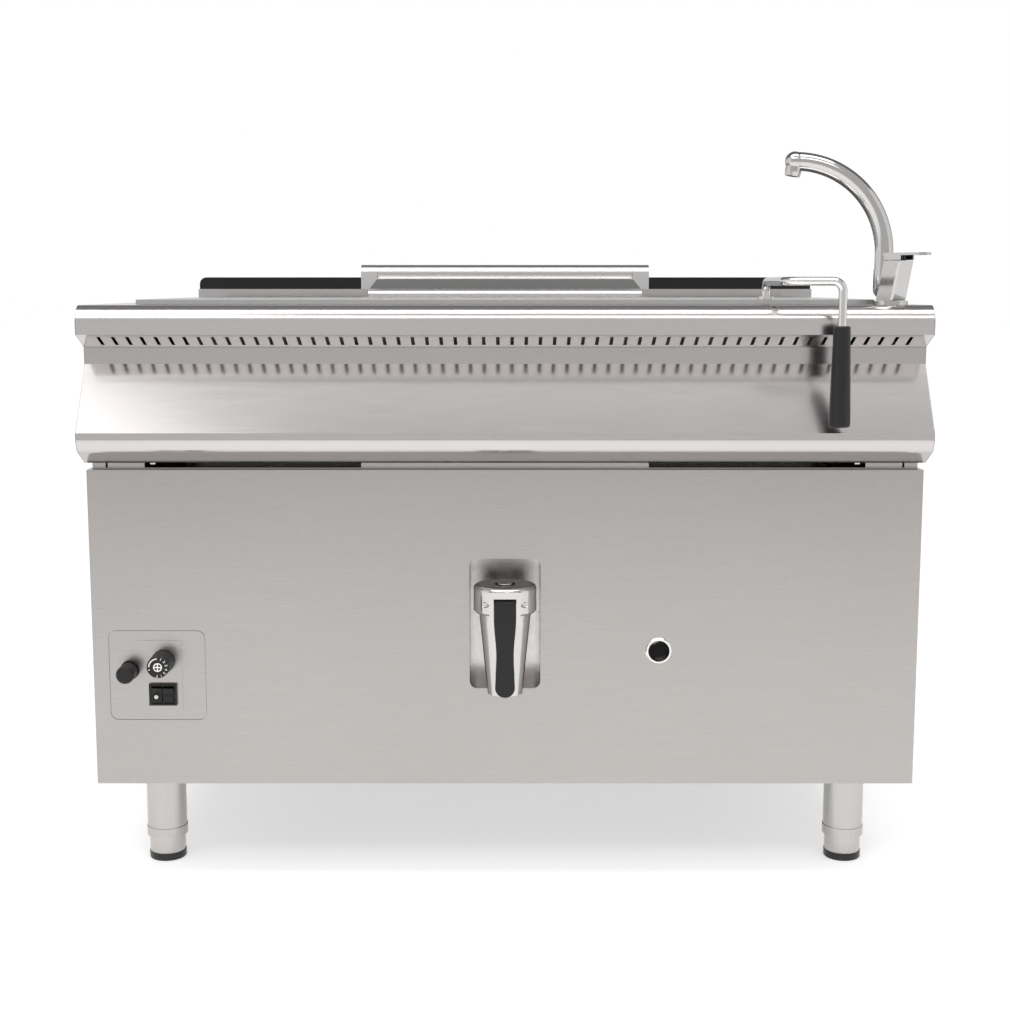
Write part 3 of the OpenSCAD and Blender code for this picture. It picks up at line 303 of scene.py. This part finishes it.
class Workshop:
    """The finishes that every sub-assembly takes, each made once."""

    def __init__(self) -> None:
        """Makes all the materials."""
        grey: Colour = (0.415, 0.396, 0.382)
        self.panel = SteelFinish("panel_steel", grey, rough=0.3).material()
        self.side = SteelFinish("side_steel", grey, rough=0.3, grain=Grain.ALONG_Y).material()
        self.crown = SteelFinish(
            "crown_steel", (0.66, 0.635, 0.628), rough=0.17, grain_depth=0.06, edge=0.8
        ).material()
        # The fascia is the crown's steel with a darker base colour: painted shade, which dims its reflections below
        # the worktop's.
        self.fascia = SteelFinish(
            "crown_steel_painted_shade", (0.56, 0.537, 0.53), rough=0.17, grain_depth=0.06, edge=0.8
        ).material()
        self.lid = SteelFinish("lid_steel", (0.58, 0.57, 0.56), rough=0.25, grain_depth=0.06, edge=0.85).material()
        self.bright = SteelFinish(
            "polished_steel", (0.72, 0.71, 0.7), rough=0.16, grain=Grain.NONE, grain_depth=0.03, edge=0.7
        ).material()
        self.chrome = SteelFinish(
            "chrome_plate", (0.56, 0.55, 0.54), rough=0.11, grain=Grain.NONE, grain_depth=0.02, cloud=0.02, edge=0.4
        ).material()
        self.recess = SteelFinish(
            "recess_steel", (0.6, 0.58, 0.57), rough=0.24, grain=Grain.NONE, grain_depth=0.03
        ).material()
        self.inner = SteelFinish("well_steel", (0.55, 0.54, 0.53), rough=0.28, grain=Grain.ALONG_Y).material()
        self.frame = SteelFinish(
            "frame_steel", (0.30, 0.30, 0.30), rough=0.48, grain=Grain.NONE, grain_depth=0.2, cloud=0.1
        ).material()
        self.iron = PlasticFinish(
            "black_enamel", (0.009, 0.009, 0.009), rough=0.34, texture=260.0, depth=0.3, shine=0.3
        ).material()
        self.plastic = PlasticFinish("black_plastic", (0.014, 0.0135, 0.0135), rough=0.42, shine=0.3).material()
        self.brass = SteelFinish(
            "brass", (0.62, 0.46, 0.2), rough=0.3, grain=Grain.NONE, grain_depth=0.1, cloud=0.08
        ).material()
        self.copper = SteelFinish(
            "copper", (0.7, 0.38, 0.26), rough=0.3, grain=Grain.NONE, grain_depth=0.1, cloud=0.1
        ).material()
        self.spring = SteelFinish(
            "spring_steel", (0.4, 0.4, 0.41), rough=0.3, grain=Grain.NONE, grain_depth=0.1
        ).material()
        self.foot = FootFinish(
            "foot_steel_and_pad", steel=(0.52, 0.50, 0.487), plastic=(0.012, 0.012, 0.012), split=0.012
        ).material()
        self.leg = SteelFinish(
            "leg_steel", (0.48, 0.462, 0.449), rough=0.26, grain=Grain.ALONG_Z, grain_depth=0.05
        ).material()
        self.ink = InkFinish().material()

    @staticmethod
    def dress(material: bpy.types.Material, *nodes: str) -> None:
        """Gives CAD nodes a material.

        Args:
            material: The finish.
            *nodes: The nodes' names.
        """
        for name in nodes:
            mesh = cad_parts[name].data
            mesh.materials.clear()
            mesh.materials.append(material)


def finish_piece(
    name: str, mesh: bmesh.types.BMesh, material: bpy.types.Material, body: str, smooth: float = 35.0
) -> bpy.types.Object:
    """Turns a bmesh into a piece that rides on a body.

    Args:
        name: The piece's name.
        mesh: Its shape, in the row's frame in metres.
        material: Its finish.
        body: The CAD body that carries it.
        smooth: The largest angle in degrees that is shaded as one curve.

    Returns:
        The new object.
    """
    bmesh.ops.remove_doubles(mesh, verts=mesh.verts, dist=MERGE_DISTANCE)
    bmesh.ops.recalc_face_normals(mesh, faces=mesh.faces)
    data = bpy.data.meshes.new(name)
    mesh.to_mesh(data)
    mesh.free()
    data.materials.append(material)
    data.shade_smooth()
    data.set_sharp_from_angle(angle=math.radians(smooth))
    piece = bpy.data.objects.new(name, data)
    bpy.context.scene.collection.objects.link(piece)
    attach(piece, body)
    LOG.info("%s: %d faces on %s", name, len(data.polygons), body)
    return piece


@dataclass
class Cabinet:
    """The lower housing with its frame, panels, burners and flue."""

    shop: Workshop

    def dress(self) -> None:
        """Gives the housing's nodes their finishes."""
        self.shop.dress(self.shop.panel, "front_panel", "control_plate", "rear_panel", "top_frame")
        self.shop.dress(self.shop.side, "side_panel_left", "side_panel_right", "crown_side_left", "crown_side_right")
        self.shop.dress(self.shop.frame, "base_frame", "burner_box", "burners", "flue_duct", "gas_inlet_pipe")
        self.shop.dress(self.shop.crown, "worktop")
        # The fascia takes the darker copy of the crown steel, which is painted shade.
        self.shop.dress(self.shop.fascia, "fascia")
        self.shop.dress(self.shop.lid, "flue_box")
        self.shop.dress(self.shop.recess, "tap_recess")
        self.shop.dress(self.shop.inner, "well", "strainer", "drain_pipe")
        self.shop.dress(self.shop.brass, "gas_manifold", "gas_valve")
        self.shop.dress(self.shop.copper, "water_pipes")
        self.shop.dress(self.shop.iron, "flue_cover_left", "flue_cover_right")
        self.shop.dress(self.shop.bright, "crown_screws", "sight_bush", "hinge_cheeks", "hinge_shaft")
        self.shop.dress(self.shop.spring, "balance_springs")
        self.shop.dress(self.shop.leg, "leg_tubes")
        self.shop.dress(self.shop.foot, "foot_front_left", "foot_front_right", "foot_rear_left", "foot_rear_right")


@dataclass
class Lid:
    """The balanced lid with its strap and handle."""

    shop: Workshop

    def dress(self) -> None:
        """Gives the lid's nodes their finishes."""
        self.shop.dress(self.shop.lid, "lid_skin")
        self.shop.dress(self.shop.inner, "lid_tray")
        self.shop.dress(self.shop.bright, "hinge_strap", "handle_rod")
        self.shop.dress(self.shop.plastic, "handle_grip")


@dataclass
class DrainTap:
    """The lever tap in the middle of the front."""

    shop: Workshop
    axis: tuple[float, float] = (0.0, -0.425)
    barrel_top: float = 0.455
    cap_r: float = 0.0115
    cap_h: float = 0.0016
    cap_round: float = 0.0007
    cap_sides: int = 48

    def dress(self) -> None:
        """Gives the tap's nodes their finishes."""
        self.shop.dress(self.shop.chrome, "tap_body", "tap_pin", "tap_stem")
        self.shop.dress(self.shop.plastic, "tap_lever")

    def build(self) -> None:
        """Closes the stem's bore with a low domed cap on top of the barrel."""
        mesh = bmesh.new()
        middle = self.barrel_top + self.cap_h / 2
        bmesh.ops.create_cone(
            mesh, cap_ends=True, segments=self.cap_sides, radius1=self.cap_r, radius2=self.cap_r, depth=self.cap_h,
            matrix=Matrix.Translation((*self.axis, middle)),
        )
        rim = [edge for edge in mesh.edges if all(vert.co.z > middle for vert in edge.verts)]
        bmesh.ops.bevel(mesh, geom=rim, offset=self.cap_round, affect="EDGES", segments=3, profile=0.5, material=-1)
        finish_piece("tap_cap", mesh, self.shop.chrome, "cabinet")


@dataclass
class Controls:
    """The gas knob, the igniter and the two switches."""

    shop: Workshop
    knob_axis: Point = (-0.498, 0.0, 0.335)
    knob_face: float = -0.4368
    arc_r: float = 0.0136
    arc_w: float = 0.0021
    arc_start: float = 9.1
    arc_sweep: float = 84.0
    arc_steps: int = 24
    digit_size: float = 0.00513
    digit_bold: float = 0.00018
    digit_start: float = 0.75
    digit_pitch: float = 0.9
    digits: str = "1234567"
    cap_face: float = -0.4374
    quarter_r: float = 0.0046
    quarter_tip: float = 0.0014
    quarter_start: float = 14.0
    quarter_sweep: float = 62.0
    quarter_steps: int = 6
    print_t: float = 0.0001
    dot_sides: int = 32
    zero_dot_r: float = 0.0011
    zero_dot_clock: float = 8.45
    switch_dot_r: float = 0.0029
    switch_dot_at: Point = (-0.5075, -0.4088, 0.284)

    def dress(self) -> None:
        """Gives the controls' nodes their finishes."""
        self.shop.dress(
            self.shop.plastic,
            "gas_knob", "igniter_body", "igniter_button", "switch_body", "rocker_left", "rocker_right",
        )
        self.shop.dress(self.shop.bright, "knob_cap", "valve_spindle")

    def knob_point(self, clock: float, radius: float) -> Vector:
        """A point on the knob's face.

        Args:
            clock: The place as hours on a clock face.
            radius: The distance from the knob's axis.

        Returns:
            The point in the row's frame.
        """
        angle = math.radians(90.0 - clock * DEGREES_PER_HOUR)
        offset = Vector((math.cos(angle) * radius, 0.0, math.sin(angle) * radius))
        return Vector((self.knob_axis[0], self.knob_face - self.print_t, self.knob_axis[2])) + offset

    def build_arc(self) -> None:
        """Prints the white arc from nine to twelve o'clock."""
        mesh = bmesh.new()
        outer = self.knob_point(self.arc_start, self.arc_r)
        inner = self.knob_point(self.arc_start, self.arc_r - self.arc_w)
        edge = mesh.edges.new((mesh.verts.new(outer), mesh.verts.new(inner)))
        bmesh.ops.spin(
            mesh, geom=[edge, *edge.verts], cent=self.knob_axis, axis=(0.0, 1.0, 0.0),
            angle=math.radians(self.arc_sweep), steps=self.arc_steps, use_merge=False, use_duplicate=False,
        )
        bmesh.ops.solidify(mesh, geom=list(mesh.faces), thickness=self.print_t)
        finish_piece("knob_arc", mesh, self.shop.ink, "knob")

    def build_disc(self, name: str, centre: Vector, radius: float, body: str) -> None:
        """Prints one round dot.

        Args:
            name: The piece's name.
            centre: The dot's middle.
            radius: Its radius.
            body: The body that carries it.
        """
        mesh = bmesh.new()
        turn = Matrix.Translation(centre) @ Matrix.Rotation(math.radians(90.0), 4, "X")
        bmesh.ops.create_cone(
            mesh, cap_ends=True, segments=self.dot_sides, radius1=radius, radius2=radius, depth=self.print_t * 2,
            matrix=turn,
        )
        finish_piece(name, mesh, self.shop.ink, body)

    def build_digit(self, text: str, clock: float) -> None:
        """Prints one number on the knob's face.

        Args:
            text: The number.
            clock: Its place as hours on a clock face.
        """
        curve = bpy.data.curves.new("digit_" + text, "FONT")
        curve.body = text
        curve.size = self.digit_size
        curve.align_x = "CENTER"
        curve.align_y = "CENTER"
        curve.extrude = self.print_t / 2
        curve.offset = self.digit_bold
        writing = bpy.data.objects.new("digit_" + text, curve)
        bpy.context.scene.collection.objects.link(writing)
        bpy.context.view_layer.update()
        mesh = bmesh.new()
        mesh.from_mesh(writing.to_mesh())
        bpy.data.objects.remove(writing)
        centre = self.knob_point(clock, self.arc_r - self.arc_w / 2)
        lean = math.radians(clock * DEGREES_PER_HOUR)
        turn = Matrix.Translation(centre) @ Matrix.Rotation(lean, 4, "Y") @ Matrix.Rotation(math.radians(90.0), 4, "X")
        bmesh.ops.transform(mesh, matrix=turn, verts=mesh.verts)
        finish_piece("knob_number_" + text, mesh, self.shop.ink, "knob")

    def build_quarter(self, place: int) -> None:
        """Prints one of the four dark quarter marks on the knob's metal cap.

        Args:
            place: The quarter's number, from zero to three.
        """
        mesh = bmesh.new()
        start = math.radians(place * 90.0 + self.quarter_start)
        sweep = math.radians(self.quarter_sweep)
        middle = start + sweep / 2
        centre = Vector((self.knob_axis[0], self.cap_face, self.knob_axis[2]))
        spots = [Vector((math.cos(middle), 0.0, math.sin(middle))) * self.quarter_tip]
        for step in range(self.quarter_steps + 1):
            angle = start + sweep * step / self.quarter_steps
            spots.append(Vector((math.cos(angle), 0.0, math.sin(angle))) * self.quarter_r)
        face = mesh.faces.new([mesh.verts.new(centre + spot) for spot in spots])
        grown = bmesh.ops.extrude_face_region(mesh, geom=[face])
        moved = [part for part in grown["geom"] if isinstance(part, bmesh.types.BMVert)]
        bmesh.ops.translate(mesh, vec=(0.0, -self.print_t, 0.0), verts=moved)
        finish_piece(f"knob_quarter_{place + 1}", mesh, self.shop.plastic, "knob")

    def build(self) -> None:
        """Prints the marks of the knob and of the left switch."""
        self.build_arc()
        zero_dot = self.knob_point(self.zero_dot_clock, self.arc_r - self.arc_w / 2)
        self.build_disc("knob_dot", zero_dot, self.zero_dot_r, "knob")
        for place, text in enumerate(self.digits):
            self.build_digit(text, self.digit_start + place * self.digit_pitch)
        for place in range(4):
            self.build_quarter(place)
        self.build_disc("switch_dot", Vector(self.switch_dot_at), self.switch_dot_r, "switch_left")


@dataclass
class MixerTap:
    """The swivel water mixer at the right."""

    shop: Workshop

    def dress(self) -> None:
        """Gives the mixer's nodes their finishes."""
        self.shop.dress(self.shop.chrome, "mixer_base", "mixer_column", "swan_neck", "outlet_nozzle", "mixer_lever")
        self.shop.dress(self.shop.plastic, "mixer_cartridge")


@dataclass
class Studio:
    """The white floor, the lamps and the camera."""

    camera_at: Point = (0.0, -2.627, 0.8761)
    camera_dip: float = 7.95
    lens: float = 55.82
    lamps: tuple[tuple[str, Point, Point, float, float, float], ...] = (
        ("left_softbox", (-2.5, -2.9, 4.6), (-0.3, -0.2, 0.7), 2.8, 1.7, 23.0),
        ("front_strip", (0.0, -3.8, 3.75), (0.0, -0.4, 0.8), 5.0, 0.85, 38.0),
        ("top", (0.0, -1.0, 3.9), (0.0, -0.45, 0.8), 4.4, 1.25, 60.0),
    )
    ambient: float = 0.6
    screen_half: float = 6.5
    screens: tuple[tuple[str, float, tuple[tuple[float, float], ...]], ...] = (
        ("front_screen", 0.62, ((-5.4, 0.02), (-5.5, 3.6), (-4.9, 4.7), (-3.6, 5.2), (-1.4, 5.3), (-0.4, 5.3))),
        ("rear_screen", 0.22, ((-0.4, 5.3), (2.4, 5.1), (3.9, 4.3), (4.5, 2.5))),
    )
    screen_colour: Colour = (0.02, 0.02, 0.02)
    floor_half: float = 30.0
    floor_colour: Colour = (0.82, 0.82, 0.82)
    floor_rough: float = 0.8
    floor_lift: float = 0.55

    def build_floor(self) -> None:
        """Lays the white floor, lifted to white where the camera sees it unshaded."""
        mesh = bmesh.new()
        bmesh.ops.create_grid(mesh, x_segments=1, y_segments=1, size=self.floor_half)
        data = bpy.data.meshes.new("floor")
        mesh.to_mesh(data)
        mesh.free()
        floor = bpy.data.objects.new("floor", data)
        bpy.context.scene.collection.objects.link(floor)
        sheet = NodeSheet("floor_white")
        sheet.shader.inputs["Base Color"].default_value = (*self.floor_colour, 1.0)
        sheet.shader.inputs["Roughness"].default_value = self.floor_rough
        path = sheet.add("ShaderNodeLightPath")
        glow = sheet.add("ShaderNodeMath", operation="MULTIPLY")
        glow.inputs[1].default_value = self.floor_lift
        seen = sheet.add("ShaderNodeMath", operation="MAXIMUM")
        sheet.link(path.outputs["Is Camera Ray"], seen.inputs[0])
        sheet.link(path.outputs["Is Glossy Ray"], seen.inputs[1])
        sheet.link(seen.outputs["Value"], glow.inputs[0])
        sheet.shader.inputs["Emission Color"].default_value = WHITE
        sheet.link(glow.outputs["Value"], sheet.shader.inputs["Emission Strength"])
        data.materials.append(sheet.material)

    def build_screen(self, name: str, glow: float, path: tuple[tuple[float, float], ...]) -> None:
        """Stands a screen that the camera sees as white and the steel mirrors as grey.

        Args:
            name: The screen's name.
            glow: Its brightness, where 1 is white.
            path: Its side view as places along Y and Z.
        """
        mesh = bmesh.new()
        rows = [[mesh.verts.new((x, y, z)) for x in (-self.screen_half, self.screen_half)] for y, z in path]
        for low, high in zip(rows, rows[1:]):
            mesh.faces.new((low[0], low[1], high[1], high[0]))
        data = bpy.data.meshes.new(name)
        mesh.to_mesh(data)
        mesh.free()
        screen = bpy.data.objects.new(name, data)
        bpy.context.scene.collection.objects.link(screen)
        sheet = NodeSheet(name)
        sheet.shader.inputs["Base Color"].default_value = (*self.screen_colour, 1.0)
        sheet.shader.inputs["Roughness"].default_value = 1.0
        sheet.shader.inputs["Emission Color"].default_value = WHITE
        path_kind = sheet.add("ShaderNodeLightPath")
        shown = sheet.add("ShaderNodeMapRange")
        shown.inputs["To Min"].default_value = glow
        shown.inputs["To Max"].default_value = 1.0
        sheet.link(path_kind.outputs["Is Camera Ray"], shown.inputs["Value"])
        sheet.link(shown.outputs["Result"], sheet.shader.inputs["Emission Strength"])
        data.materials.append(sheet.material)

    def build_world(self) -> None:
        """Makes a white surround that is dimmer as a light than as a background."""
        world = bpy.data.worlds.new("studio")
        bpy.context.scene.world = world
        world.use_nodes = True
        tree = world.node_tree
        shade = tree.nodes["Background"]
        shade.inputs["Color"].default_value = WHITE
        path = tree.nodes.new("ShaderNodeLightPath")
        seen = tree.nodes.new("ShaderNodeMath")
        seen.operation = "MAXIMUM"
        tree.links.new(path.outputs["Is Camera Ray"], seen.inputs[0])
        tree.links.new(path.outputs["Is Glossy Ray"], seen.inputs[1])
        mix = tree.nodes.new("ShaderNodeMapRange")
        mix.inputs["To Min"].default_value = self.ambient
        mix.inputs["To Max"].default_value = 1.0
        tree.links.new(seen.outputs["Value"], mix.inputs["Value"])
        tree.links.new(mix.outputs["Result"], shade.inputs["Strength"])

    def build_lamp(self, name: str, place: Point, target: Point, width: float, depth: float, power: float) -> None:
        """Hangs one soft lamp.

        Args:
            name: The lamp's name.
            place: Where it hangs.
            target: What it points at.
            width: Its face's width.
            depth: Its face's other side.
            power: Its power in watts.
        """
        light = bpy.data.lights.new(name, "AREA")
        light.shape = "RECTANGLE"
        light.size = width
        light.size_y = depth
        light.energy = power
        lamp = bpy.data.objects.new(name, light)
        lamp.location = place
        lamp.rotation_euler = (Vector(target) - Vector(place)).to_track_quat("-Z", "Y").to_euler()
        bpy.context.scene.collection.objects.link(lamp)

    def build_camera(self) -> None:
        """Sets the camera to the photograph's view."""
        data = bpy.data.cameras.new("photo_view")
        data.lens = self.lens
        data.sensor_width = 36.0
        camera = bpy.data.objects.new("photo_view", data)
        camera.location = self.camera_at
        camera.rotation_euler = (math.radians(90.0 - self.camera_dip), 0.0, 0.0)
        bpy.context.scene.collection.objects.link(camera)
        bpy.context.scene.camera = camera

    def build(self) -> None:
        """Sets up the floor, surround, lamps, camera and plain view."""
        self.build_floor()
        for screen in self.screens:
            self.build_screen(*screen)
        self.build_world()
        for lamp in self.lamps:
            self.build_lamp(*lamp)
        self.build_camera()
        bpy.context.scene.view_settings.view_transform = "Standard"


def main() -> None:
    """Builds the studio and dresses each sub-assembly in turn."""
    logging.basicConfig(level=logging.INFO, format="%(message)s")
    Studio().build()
    shop = Workshop()
    for assembly in (Cabinet(shop), Lid(shop), DrainTap(shop), Controls(shop), MixerTap(shop)):
        assembly.dress()
        LOG.info("dressed %s", type(assembly).__name__)
        if hasattr(assembly, "build"):
            assembly.build()


if __name__ == "__main__":
    main()
